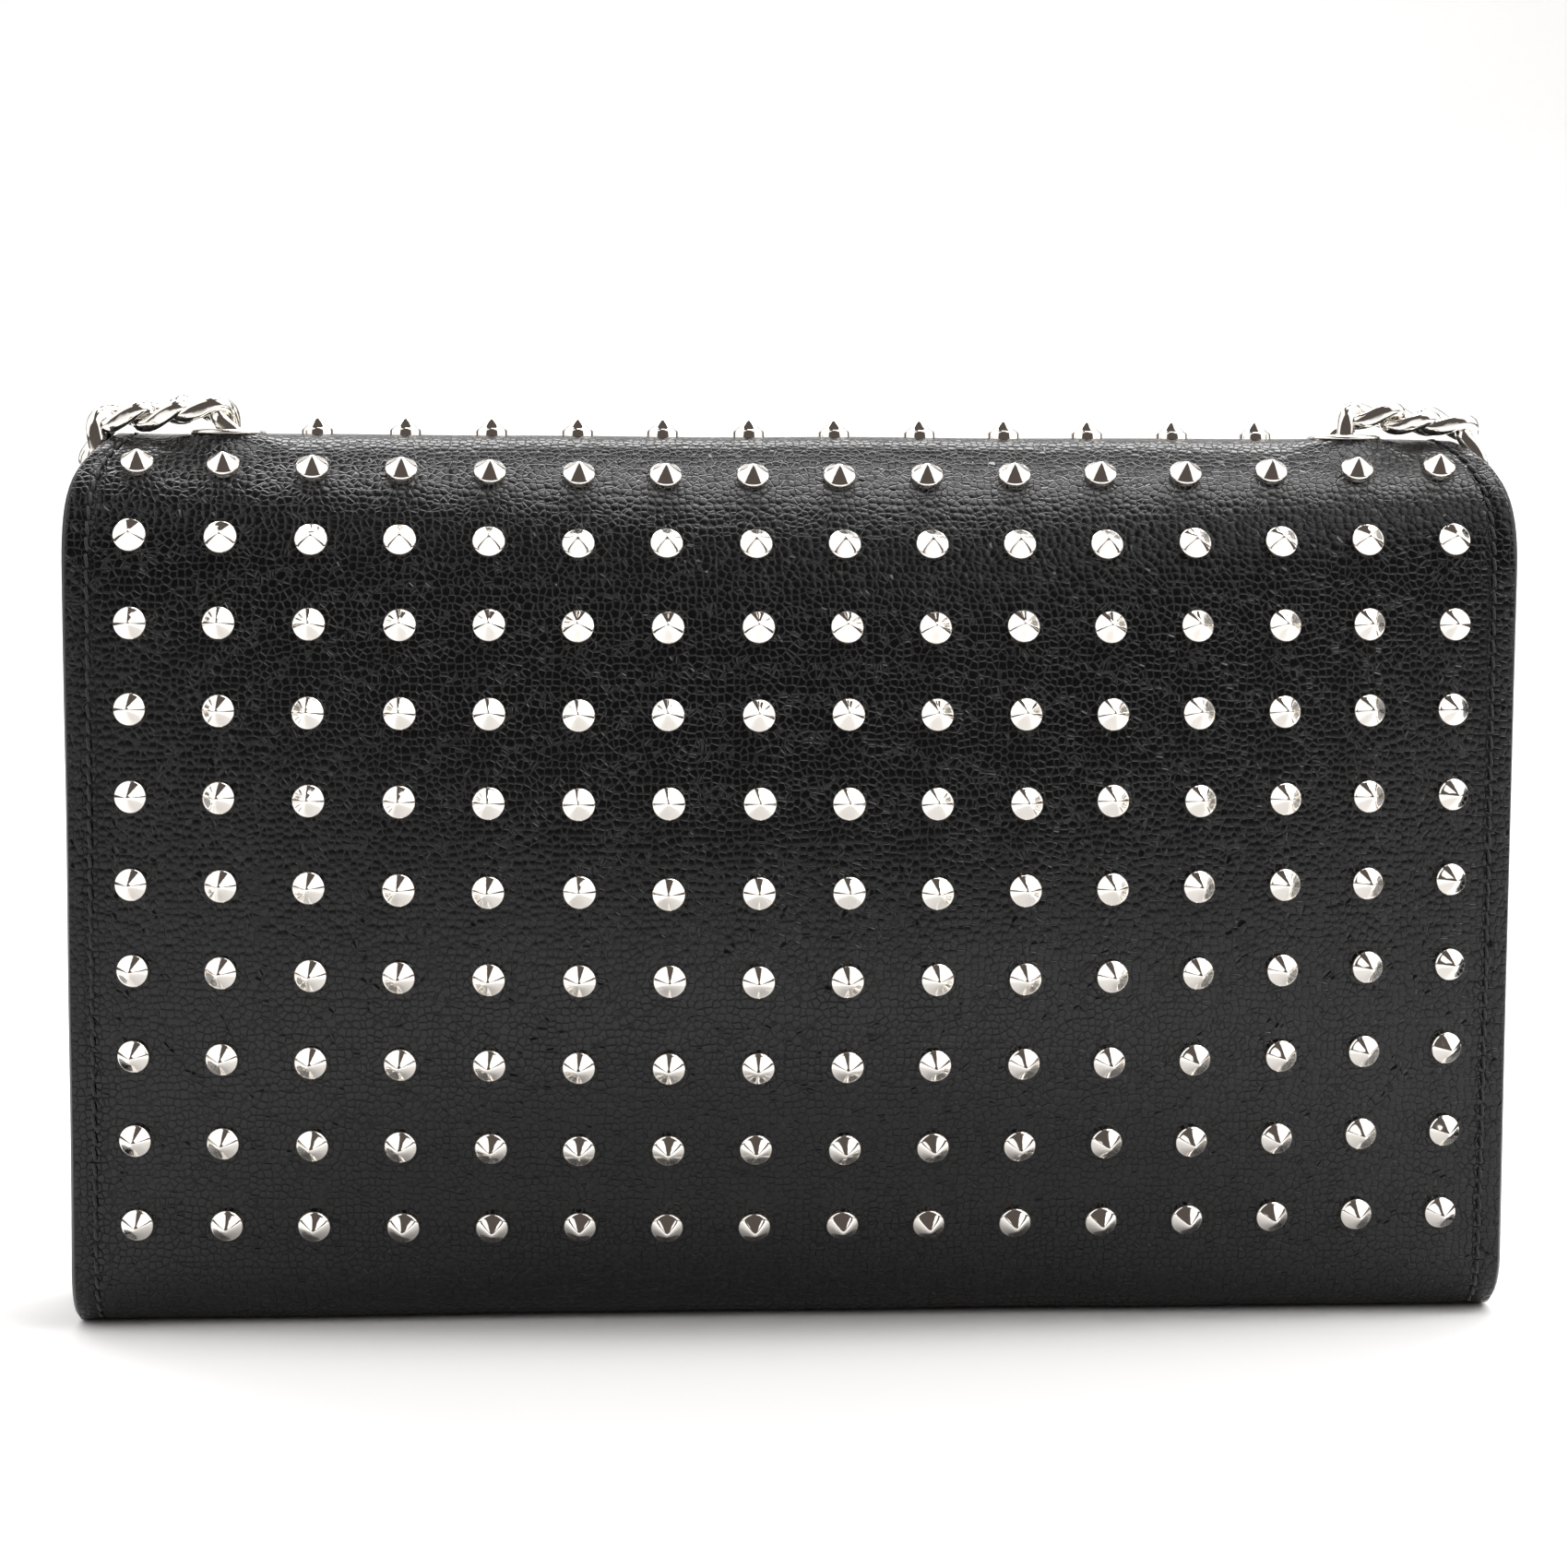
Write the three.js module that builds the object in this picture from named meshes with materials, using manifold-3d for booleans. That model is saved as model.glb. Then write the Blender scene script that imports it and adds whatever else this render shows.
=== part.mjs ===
// A studded leather chain wallet, in millimetres, +Z up. The studded back faces -Y and the flap hangs over the +Y side.
// It stands on its base. The origin is under the middle of the wallet, on the surface that it stands on.
import * as THREE from "three";
import { mergeVertices } from "three/addons/utils/BufferGeometryUtils.js";
import Module from "manifold-3d";

const wasm = await Module();
wasm.setup();

// Driving dimensions of the leather body.
const WIDTH = 240; // across the side edges
const HEIGHT = 149; // to the crest of the top, over the leather
const LEATHER = 2; // outer leather, bonded double
const LINING = 0.8;
const GAP = 0.3; // between pieces that touch in the real wallet
const FLAP_STANDOFF = 5.5; // the front panel lies this far behind the outside of the flap
const Y_SHIFT = 3; // puts the middle of the depth over the origin

// Each side of the body is a line of arcs from the crest down to the floor. An arc is its radius and the way that the
// surface faces at its end, in degrees above level; null is the radius that makes the whole line as high as the body.
const BACK_MIDDLE = [[12, 53.2], [56.7, 14.7], [185, 0], [null, -27.3], [10.4, -90]];
const BACK_EDGE = [[21.6, 1], [470, 0], [null, -1], [10.4, -90]];
const FRONT_MIDDLE = [[14, 48], [42, 12], [250, 0], [null, -12], [10.4, -90]];
const FRONT_EDGE = [[20.5, 1], [470, 0], [null, -1], [10.4, -90]];
const PINCH = 1.84; // how fast the middle's line turns into the edge's line towards the ends
const CREST_INSET = 6.7; // each side edge curves in by this at the crest
const INSET_REACH = 14;
const FRONT_HALF = 116.5; // the front panel is narrower than the flap over it, and the chain passes beside it

const LINES = Object.fromEntries(Object.entries({ BACK_MIDDLE, BACK_EDGE, FRONT_MIDDLE, FRONT_EDGE })
  .map(([name, arcs]) => [name, lineOfArcs(arcs)]));
const CREST = LINES.BACK_MIDDLE.length; // along the wrap, from the floor up the back
const WRAP = CREST + LINES.FRONT_MIDDLE.length;
const FOLD = CREST + 6.5; // where the flap folds, just in front of the eyelets
const FOLD_GAP = 0.5; // each side of the fold, so that the edges clear each other as the flap opens
const FLAP_EDGE_Z = 16;
const MOUTH_Z = 119; // top edge of the front panel and of the gussets
const BASE_BACK = -9.2; // the flat base between the rounded bottom corners
const BASE_FRONT = 3.4;

// Studs.
const STUD_PITCH = 14.6;
const STUD_ROW_PITCH = 14.5; // along the wrap
const STUD_COLUMNS = 16;
const STUD = { radius: 2.75, rim: 0.5, height: 2.9, sides: 6, lift: 0.45 };
const BACK_ROWS = 10;
const FIRST_BACK_ROW = CREST - 14.8 - 9 * STUD_ROW_PITCH;
const TOP_ROW_COLUMNS = 12; // the eyelets take the place of the other four
const FLAP_ROWS = 8;
const FIRST_FLAP_ROW = CREST + 16;

// Eyelets, chain and its anchors.
const EYELET = { x: 95, y: -2, long: 12.8, wide: 12, hole: 8.2, holeWide: 7.6, flange: 0.8, sides: 24 };
const CHAIN_DIAMETER = 5.2;
const TAIL_DIAMETER = 5.2;
const ANCHOR = { x: 96, y: -14, ringZ: 117, ringRadius: 6.5, wire: 1.2 };

// Pocket wall with its card slots and zip.
const POCKET = { half: 85, y: -18.5, bottom: 7, zipBottom: 103, zipTop: 114, top: 119, sheet: 1 };
const ZIP = { z: 108.5, half: 81, teeth: 3.2, teethDepth: 1.4, sliderX: 73 };
const SNAP = { z: 42, radius: 9, socket: 0.9, cap: 0.6, plate: 0.8 };

const leather = new THREE.MeshStandardMaterial({ color: 0x17181a, roughness: 0.45, metalness: 0 });
const edgeLeather = new THREE.MeshStandardMaterial({ color: 0x1c1c1e, roughness: 0.55, metalness: 0 });
const suede = new THREE.MeshStandardMaterial({ color: 0x232122, roughness: 0.95, metalness: 0 });
const steel = new THREE.MeshStandardMaterial({ color: 0xd9d7d3, roughness: 0.12, metalness: 1 });
const tape = new THREE.MeshStandardMaterial({ color: 0x151515, roughness: 0.9, metalness: 0 });
const board = new THREE.MeshStandardMaterial({ color: 0x8d7a62, roughness: 0.9, metalness: 0 });

const wallet = new THREE.Group();
wallet.position.y = Y_SHIFT;

function lineOfArcs(arcs) {
  const sine = (degrees) => Math.sin((degrees * Math.PI) / 180);
  const starts = arcs.map((_, i) => (i ? arcs[i - 1][1] : 90));
  const drop = (i) => sine(starts[i]) - sine(arcs[i][1]);
  const fixed = arcs.reduce((sum, [radius], i) => sum + (radius ?? 0) * drop(i), 0);
  const open = arcs.findIndex(([radius]) => radius === null);
  const parts = [];
  let [out, z, length] = [0, HEIGHT, 0];
  arcs.forEach(([given, end], i) => {
    const radius = given ?? (HEIGHT - fixed) / drop(open);
    const from = (starts[i] * Math.PI) / 180;
    const to = (end * Math.PI) / 180;
    const centre = [out - radius * Math.cos(from), z - radius * Math.sin(from)];
    parts.push({ radius, from, centre, begin: length, end: length + radius * (from - to) });
    [out, z] = [centre[0] + radius * Math.cos(to), centre[1] + radius * Math.sin(to)];
    length += radius * (from - to);
  });
  return { parts, length };
}

// A point on a line of arcs, so far below the crest: how far it stands out from the middle, and its height.
function onLine(line, distance) {
  const part = line.parts.find(({ end }) => distance <= end) ?? line.parts.at(-1);
  const facing = part.from - (distance - part.begin) / part.radius;
  return [part.centre[0] + part.radius * Math.cos(facing), part.centre[1] + part.radius * Math.sin(facing)];
}

// How much narrower the leather is over the top, where its side edges curve in.
function crestInset(x, along) {
  const nearEdge = Math.min(Math.max((Math.abs(x) - 104) / 16, 0), 1);
  const share = nearEdge * nearEdge * (3 - 2 * nearEdge);
  return Math.sign(x) * CREST_INSET * share * Math.exp(-(((along - CREST) / INSET_REACH) ** 2));
}

// A point on the outside of the body. The wrap runs from the floor up the back, over the crest and down the front.
function wrapPoint(x, along) {
  const front = along > CREST;
  const [middle, edge] = front ? [LINES.FRONT_MIDDLE, LINES.FRONT_EDGE] : [LINES.BACK_MIDDLE, LINES.BACK_EDGE];
  const distance = Math.abs(along - CREST);
  const share = Math.abs((2 * x) / WIDTH) ** PINCH;
  const a = onLine(middle, distance);
  const b = onLine(edge, (distance * edge.length) / middle.length);
  const out = a[0] + share * (b[0] - a[0]);
  return new THREE.Vector3(x - crestInset(x, along), front ? out : -out, a[1] + share * (b[1] - a[1]));
}

// How far along the wrap the outside is at a height.
function alongAt(x, z, front) {
  let [low, high] = front ? [CREST, WRAP] : [CREST, 0];
  for (let i = 0; i < 40; i++) {
    const half = (low + high) / 2;
    if (wrapPoint(x, half).z > z) low = half;
    else high = half;
  }
  return (low + high) / 2;
}

function wrapNormal(x, along) {
  const step = 0.05;
  const across = wrapPoint(x + step, along).sub(wrapPoint(x - step, along));
  const up = wrapPoint(x, along + step).sub(wrapPoint(x, along - step));
  return across.cross(up).normalize();
}

// A point under the wrap's outside, by so many millimetres.
function under(x, along, depth) {
  return wrapPoint(x, along).addScaledVector(wrapNormal(x, along), -depth);
}

// Every sheet is cut at the same stations along the wrap, so that the layers nest without touching.
const STATIONS = [
  ...spread(0, 16, 4), ...spread(34, CREST - 44, 5), ...spread(CREST - 36, CREST - 4, 5), CREST,
  ...spread(CREST + 4, CREST + 36, 5), ...spread(CREST + 48, WRAP - 34, 5), ...spread(WRAP - 16, WRAP, 4),
];

function stations(from, to) {
  return [from, ...STATIONS.filter((s) => s > from + 0.6 && s < to - 0.6), to];
}

function spread(from, to, steps) {
  return Array.from({ length: steps + 1 }, (_, i) => from + ((to - from) * i) / steps);
}

// A closed sheet between two grids of points, outer(u, v) and inner(u, v).
function sheet(outer, inner, us, vs) {
  const cols = us.length;
  const rows = vs.length;
  const positions = [];
  for (const face of [outer, inner])
    for (const v of vs) for (const u of us) positions.push(...face(u, v).toArray());
  const at = (layer, i, j) => layer * cols * rows + j * cols + i;
  const index = [];
  const quad = (a, b, c, d) => index.push(a, b, c, a, c, d);
  for (let j = 0; j < rows - 1; j++)
    for (let i = 0; i < cols - 1; i++) {
      quad(at(0, i, j), at(0, i + 1, j), at(0, i + 1, j + 1), at(0, i, j + 1));
      quad(at(1, i, j), at(1, i, j + 1), at(1, i + 1, j + 1), at(1, i + 1, j));
    }
  for (let i = 0; i < cols - 1; i++) {
    quad(at(0, i, 0), at(1, i, 0), at(1, i + 1, 0), at(0, i + 1, 0));
    quad(at(0, i + 1, rows - 1), at(1, i + 1, rows - 1), at(1, i, rows - 1), at(0, i, rows - 1));
  }
  for (let j = 0; j < rows - 1; j++) {
    quad(at(0, 0, j + 1), at(1, 0, j + 1), at(1, 0, j), at(0, 0, j));
    quad(at(0, cols - 1, j), at(1, cols - 1, j), at(1, cols - 1, j + 1), at(0, cols - 1, j + 1));
  }
  const geometry = new THREE.BufferGeometry();
  geometry.setAttribute("position", new THREE.Float32BufferAttribute(positions, 3));
  geometry.setIndex(index);
  return facingOut(geometry);
}

function signedVolume(geometry) {
  const p = geometry.getAttribute("position");
  const ix = geometry.index.array;
  const [a, b, c] = [new THREE.Vector3(), new THREE.Vector3(), new THREE.Vector3()];
  let sum = 0;
  for (let i = 0; i < ix.length; i += 3) {
    a.fromBufferAttribute(p, ix[i]);
    b.fromBufferAttribute(p, ix[i + 1]);
    c.fromBufferAttribute(p, ix[i + 2]);
    sum += a.dot(b.cross(c));
  }
  return sum;
}

function facingOut(geometry) {
  if (signedVolume(geometry) < 0) {
    const ix = geometry.index.array;
    for (let i = 0; i < ix.length; i += 3) [ix[i + 1], ix[i + 2]] = [ix[i + 2], ix[i + 1]];
  }
  geometry.computeVertexNormals();
  return geometry;
}

function add(name, geometry, material, position = [0, 0, 0], rotation = [0, 0, 0]) {
  const mesh = new THREE.Mesh(geometry, material);
  mesh.name = name;
  mesh.position.set(...position);
  mesh.rotation.set(...rotation);
  wallet.add(mesh);
  return mesh;
}

// Booleans: a closed three.js geometry to a manifold-3d solid, and back.
function toSolid(geometry, matrix) {
  const bare = geometry.clone();
  bare.deleteAttribute("normal");
  bare.deleteAttribute("uv");
  if (matrix) bare.applyMatrix4(matrix);
  const merged = mergeVertices(bare, 1e-4);
  return new wasm.Manifold(new wasm.Mesh({
    numProp: 3,
    vertProperties: merged.getAttribute("position").array,
    triVerts: new Uint32Array(merged.index.array),
  }));
}

function fromSolid(solid) {
  const mesh = solid.getMesh();
  const geometry = new THREE.BufferGeometry();
  geometry.setAttribute("position", new THREE.Float32BufferAttribute(mesh.vertProperties, 3));
  geometry.setIndex(new THREE.BufferAttribute(mesh.triVerts, 1));
  geometry.computeVertexNormals();
  return geometry;
}

function cut(geometry, ...tools) {
  return fromSolid(tools.reduce((solid, tool) => solid.subtract(tool), toSolid(geometry)));
}

function moved(x, y, z) {
  return new THREE.Matrix4().makeTranslation(x, y, z);
}

// A slot's outline with round ends, long along X.
function slotOutline(long, wide, sides, target = new THREE.Shape()) {
  const r = wide / 2;
  const reach = long / 2 - r;
  for (let i = 0; i < sides; i++) {
    const turn = (2 * Math.PI * (i + 0.5)) / sides;
    const x = r * Math.cos(turn) + Math.sign(Math.cos(turn)) * reach;
    const y = r * Math.sin(turn);
    if (i) target.lineTo(x, y);
    else target.moveTo(x, y);
  }
  target.closePath();
  return target;
}

function slotRing(long, wide, holeLong, holeWide, thickness) {
  const shape = slotOutline(long, wide, EYELET.sides);
  shape.holes.push(slotOutline(holeLong, holeWide, EYELET.sides, new THREE.Path()));
  return new THREE.ExtrudeGeometry(shape, { depth: thickness, bevelEnabled: false });
}

function slotCutter(long, wide, x, y) {
  const shape = slotOutline(long, wide, EYELET.sides);
  const geometry = new THREE.ExtrudeGeometry(shape, { depth: 20, bevelEnabled: false });
  return toSolid(geometry, moved(x, y, HEIGHT - 12));
}

function box(x0, x1, y0, y1, z0, z1) {
  const geometry = new THREE.BoxGeometry(x1 - x0, y1 - y0, z1 - z0);
  return geometry.translate((x0 + x1) / 2, (y0 + y1) / 2, (z0 + z1) / 2);
}

// ---- Outer leather ----

function wrapSheet(fromAlong, toAlong, halfWidth, columns, top, bottom, shiftY = 0) {
  const point = (depth) => (x, along) => under(x, along, depth).add(new THREE.Vector3(0, shiftY, 0));
  const xs = spread(-halfWidth, halfWidth, columns);
  return sheet(point(top), point(bottom), xs, stations(fromAlong, toAlong));
}

function eyeletHoles(clearance) {
  const barrel = [EYELET.hole + 1.6, EYELET.holeWide + 1.6];
  return [-1, 1].map((side) =>
    slotCutter(barrel[0] + 2 * clearance, barrel[1] + 2 * clearance, side * EYELET.x, EYELET.y));
}

function outerLeather() {
  const half = WIDTH / 2;
  const back = wrapSheet(0, FOLD - FOLD_GAP, half, 12, 0, LEATHER);
  add("back_panel", cut(back, ...eyeletHoles(GAP)), leather);
  const frontTop = alongAt(0, MOUTH_Z, true);
  add("front_panel", wrapSheet(frontTop, WRAP, FRONT_HALF, 8, 0, LEATHER, -FLAP_STANDOFF), leather);
  add("base_panel", box(-half, half, BASE_BACK, BASE_FRONT, 0, LEATHER), leather);
}

function flap() {
  const half = WIDTH / 2;
  const flapEnd = alongAt(0, FLAP_EDGE_Z, true);
  add("flap_panel", wrapSheet(FOLD + FOLD_GAP, flapEnd, half, 8, 0, LEATHER), leather);
  const lining = wrapSheet(FOLD + FOLD_GAP, flapEnd - 1.5, half - 1.5, 6, LEATHER + GAP, LEATHER + GAP + LINING);
  add("flap_lining", lining, suede);
}

// A gusset is folded inwards along its middle, and sewn to the back and front panels by its two flanges.
function gusset(side, name) {
  const flangeEnd = WIDTH / 2 - 1.5;
  const flangeStart = WIDTH / 2 - 7.5;
  const frontEnd = FRONT_HALF - 1.5;
  const frontStart = FRONT_HALF - 7.5;
  const foldX = WIDTH / 2 - 17;
  const thick = 1.2;
  const edgeY = (z, sign, standoff) => {
    const x = sign > 0 ? frontEnd : flangeEnd;
    const outside = wrapPoint(x, alongAt(x, z, sign > 0)).y;
    const room = z < 11 ? 5 * GAP : 2.5 * GAP;
    return outside - sign * (LEATHER + thick + room) - standoff;
  };
  const plan = (z, inner) => {
    const back = edgeY(z, -1, 0);
    const front = edgeY(z, 1, FLAP_STANDOFF);
    const middle = (back + front) / 2;
    const t = inner ? thick : 0;
    return [
      [flangeEnd, back - t], [flangeStart - t * 0.4, back - t], [foldX - t * 1.1, middle],
      [frontStart - t * 0.4, front + t], [frontEnd, front + t],
    ].map(([x, y], i) => (inner ? [x, y] : [x + (i === 1 || i === 3 ? t : 0), y]));
  };
  const outside = (u, z) => {
    const back = edgeY(z, -1, 0);
    const front = edgeY(z, 1, FLAP_STANDOFF);
    const points = [[flangeEnd, back], [flangeStart + 0.7, back], [foldX, (back + front) / 2],
      [frontStart + 0.7, front], [frontEnd, front]];
    return new THREE.Vector3(side * points[u][0], points[u][1], z);
  };
  const inside = (u, z) => {
    const [x, y] = plan(z, true)[u];
    return new THREE.Vector3(side * x, y, z);
  };
  add(name, sheet(outside, inside, [0, 1, 2, 3, 4], [5, 8, 11, ...spread(25, MOUTH_Z, 6)]), leather);
}

// ---- Lining, base board, pocket wall and card slots ----

function interior() {
  const half = WIDTH / 2 - 9.5;
  const depth = LEATHER + GAP;
  const liningTop = alongAt(0, 120, false);
  const back = wrapSheet(12, liningTop, half, 8, depth + GAP, depth + GAP + LINING);
  add("lining_back", back, suede);
  const front = wrapSheet(alongAt(0, 116, true), WRAP - 12, FRONT_HALF - 9.5, 8, depth, depth + LINING, -FLAP_STANDOFF);
  add("lining_front", front, suede);
  const topLining = wrapSheet(liningTop + 0.8, FOLD - GAP - 0.4, half + 6, 8, depth + GAP, depth + GAP + LINING);
  add("lining_top", cut(topLining, ...eyeletHoles(GAP)), suede);
  const flatHalf = WIDTH / 2 - 18.5;
  const [flatBack, flatFront] = [BASE_BACK + 0.8, BASE_FRONT - 0.8];
  add("base_board", box(-flatHalf, flatHalf, flatBack, flatFront, LEATHER + GAP, LEATHER + GAP + 1.2), board);
  const liningZ = LEATHER + 2 * GAP + 1.2;
  add("lining_base", box(-flatHalf, flatHalf, flatBack, flatFront, liningZ, liningZ + LINING), suede);
}

function pocketWall() {
  const { half, y, bottom, zipBottom, zipTop, top, sheet: thick } = POCKET;
  const wallBottom = bottom + 11;
  add("pocket_wall", box(-half, half, y, y + thick, wallBottom, zipBottom - GAP), edgeLeather);
  add("zip_tape", box(-half, half, y, y + thick, zipBottom, zipTop), tape);
  add("pocket_hem", box(-half, half, y, y + thick, zipTop + GAP, top), edgeLeather);
  const slots = [["card_slot_upper", 90], ["card_slot_middle", 76], ["card_slot_lower", 62]];
  slots.forEach(([name, slotTop], i) => {
    const face = y + thick + GAP + i * (LINING + 0.4);
    add(name, box(-half + 2, half - 2, face, face + LINING, wallBottom + 1, slotTop), edgeLeather);
  });
}

function zip() {
  const face = POCKET.y + POCKET.sheet + GAP;
  const { z, half, teeth, teethDepth, sliderX } = ZIP;
  add("zip_teeth", box(-half, half, face, face + teethDepth, z - teeth / 2, z + teeth / 2), steel);
  // The slider is a channel that wraps round the front of the teeth, with a bridge for the pull.
  const front = face + teethDepth + GAP;
  const body = box(sliderX - 4.5, sliderX + 4.5, front, front + 1.4, z - 3.4, z + 3.4);
  const bridge = box(sliderX - 2.6, sliderX + 2.6, front, front + 4.2, z - 1, z + 1);
  const hole = box(sliderX - 1.3, sliderX + 1.3, front + 1.6, front + 3.3, z - 2, z + 2);
  const slider = toSolid(body).add(toSolid(bridge)).subtract(toSolid(hole));
  add("zip_slider", fromSolid(slider), steel);
  // The pull's bar lies in the bridge, and its tab lies along the zip.
  const pivotY = front + 2.45;
  const bar = box(sliderX - 0.55, sliderX + 0.55, pivotY - 0.55, pivotY + 0.55, z - 3.2, z + 3.2);
  const arms = [-1, 1].map((s) => {
    const [low, high] = s < 0 ? [z - 3.2, z - 2] : [z + 2, z + 3.2];
    return toSolid(box(sliderX - 8, sliderX + 0.55, pivotY - 0.55, pivotY + 0.55, low, high));
  });
  const tab = toSolid(box(sliderX - 22, sliderX - 6.8, pivotY - 0.6, pivotY + 0.6, z - 3.2, z + 3.2));
  add("zip_pull", fromSolid(arms.reduce((a, b) => a.add(b), toSolid(bar)).add(tab)), steel);
}

// ---- Snap under the flap ----

function snap() {
  const frontAlong = alongAt(0, SNAP.z, true);
  const outside = wrapPoint(0, frontAlong);
  const lean = Math.atan2(wrapNormal(0, frontAlong).z, wrapNormal(0, frontAlong).y);
  const panelFace = outside.y - FLAP_STANDOFF;
  const disc = (radius, thick) => new THREE.CylinderGeometry(radius, radius, thick, 20);
  const place = (y) => [0, y, SNAP.z + (y - outside.y) * Math.tan(lean)];
  const turn = [lean, 0, 0];
  add("snap_socket", disc(SNAP.radius, SNAP.socket), steel, place(panelFace + GAP + SNAP.socket / 2), turn);
  const liningFace = outside.y - FLAP_STANDOFF - LEATHER - GAP - LINING;
  add("snap_backplate", disc(SNAP.radius, SNAP.plate), steel, place(liningFace - GAP - SNAP.plate / 2), turn);
  const capFace = outside.y - LEATHER - GAP - LINING - GAP;
  add("snap_cap", disc(SNAP.radius, SNAP.cap), steel, place(capFace - SNAP.cap / 2), turn);
}

// ---- Studs: one row is one node, its studs tied at their rims by a thin strip ----

function studRow(name, along, columns) {
  const { radius, rim, height, sides, lift } = STUD;
  const positions = [];
  const index = [];
  const rings = [];
  const outline = Array.from({ length: sides }, (_, i) => {
    const turn = (2 * Math.PI * (i - 0.5)) / sides;
    return [radius * Math.cos(turn), radius * Math.sin(turn)];
  });
  for (let c = 0; c < columns; c++) {
    const x = (c - (columns - 1) / 2) * STUD_PITCH;
    const normal = wrapNormal(x, along);
    const centre = wrapPoint(x, along).addScaledVector(normal, lift);
    const across = new THREE.Vector3(1, 0, 0).addScaledVector(normal, -normal.x).normalize();
    const up = normal.clone().cross(across);
    const put = (px, py, h) => {
      const p = centre.clone().addScaledVector(across, px).addScaledVector(up, py).addScaledVector(normal, h);
      positions.push(p.x, p.y, p.z);
      return positions.length / 3 - 1;
    };
    const low = outline.map(([px, py]) => put(px, py, 0));
    const high = outline.map(([px, py]) => put(px, py, rim));
    const apex = put(0, 0, height);
    const n = outline.length;
    for (let i = 0; i < n; i++) {
      const j = (i + 1) % n;
      index.push(high[i], high[j], apex);
      if (i > 0 && i < n - 1) index.push(low[0], low[i + 1], low[i]);
      const atRight = i === 0;
      const atLeft = i === n / 2;
      const joined = (atRight && c < columns - 1) || (atLeft && c > 0);
      if (!joined) index.push(low[i], low[j], high[j], low[i], high[j], high[i]);
    }
    rings.push({ right: [low[0], low[1], high[1], high[0]], left: [low[n / 2 + 1], low[n / 2], high[n / 2], high[n / 2 + 1]] });
  }
  for (let c = 0; c < columns - 1; c++) {
    const a = rings[c].right;
    const b = rings[c + 1].left;
    for (let i = 0; i < 4; i++) {
      const j = (i + 1) % 4;
      index.push(a[i], a[j], b[j], a[i], b[j], b[i]);
    }
  }
  const geometry = new THREE.BufferGeometry();
  geometry.setAttribute("position", new THREE.Float32BufferAttribute(positions, 3));
  geometry.setIndex(index);
  add(name, facingOut(geometry), steel);
}

function studs() {
  const number = (i) => String(i + 1).padStart(2, "0");
  for (let i = 0; i < BACK_ROWS; i++)
    studRow("stud_row_back_" + number(i), FIRST_BACK_ROW + i * STUD_ROW_PITCH, STUD_COLUMNS);
  studRow("stud_row_top", FIRST_BACK_ROW + BACK_ROWS * STUD_ROW_PITCH, TOP_ROW_COLUMNS);
  for (let i = 0; i < FLAP_ROWS; i++)
    studRow("stud_row_flap_" + number(i), FIRST_FLAP_ROW + i * STUD_ROW_PITCH, STUD_COLUMNS);
}

// ---- Eyelets, anchors and chain ----

function eyelet(side, suffix) {
  const { x, y, long, wide, hole, holeWide, flange } = EYELET;
  const top = HEIGHT + GAP;
  const washerZ = HEIGHT - LEATHER - LINING - 3 * GAP - 3.2;
  const flangeRing = toSolid(slotRing(long, wide, hole, holeWide, flange), moved(side * x, y, top));
  const barrelDepth = top - washerZ + 0.2;
  const barrel = toSolid(slotRing(hole + 1.6, holeWide + 1.6, hole, holeWide, barrelDepth), moved(side * x, y, top - barrelDepth + 0.2));
  add("eyelet_" + suffix, fromSolid(flangeRing.add(barrel)), steel);
  const washer = slotRing(long - 1, wide - 0.4, hole + 2.2, holeWide + 2.2, 0.8);
  add("eyelet_washer_" + suffix, washer, steel, [side * x, y, washerZ - 0.2]);
}

function anchor(side, suffix) {
  const { x, y, ringZ, ringRadius, wire } = ANCHOR;
  const centre = side * x;
  const holeZ = ringZ - ringRadius;
  const tabBlock = box(centre - 3, centre + 3, y - 4.4, y + 2.4, holeZ - 20, holeZ + 3);
  const ringHole = new THREE.CylinderGeometry(2.1, 2.1, 8, 12).rotateZ(Math.PI / 2).translate(centre, y, holeZ);
  const rivetZ = holeZ - 12;
  const rivetHole = new THREE.CylinderGeometry(1.6, 1.6, 20, 12).translate(centre, y, rivetZ);
  add("anchor_tab_" + suffix, cut(tabBlock, toSolid(ringHole), toSolid(rivetHole)), edgeLeather);
  const ring = new THREE.TorusGeometry(ringRadius, wire, 8, 20).rotateX(Math.PI / 2);
  add("anchor_ring_" + suffix, ring, steel, [centre, y, ringZ]);
  const profile = [[0, -5], [1.25, -5], [1.25, 0], [3.2, 0], [2.6, 1.1], [0, 1.4]];
  const rivet = new THREE.LatheGeometry(profile.map(([r, h]) => new THREE.Vector2(r, h)), 12);
  add("anchor_rivet_" + suffix, rivet, steel, [centre, y + 2.4 + GAP, rivetZ]);
}

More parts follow.
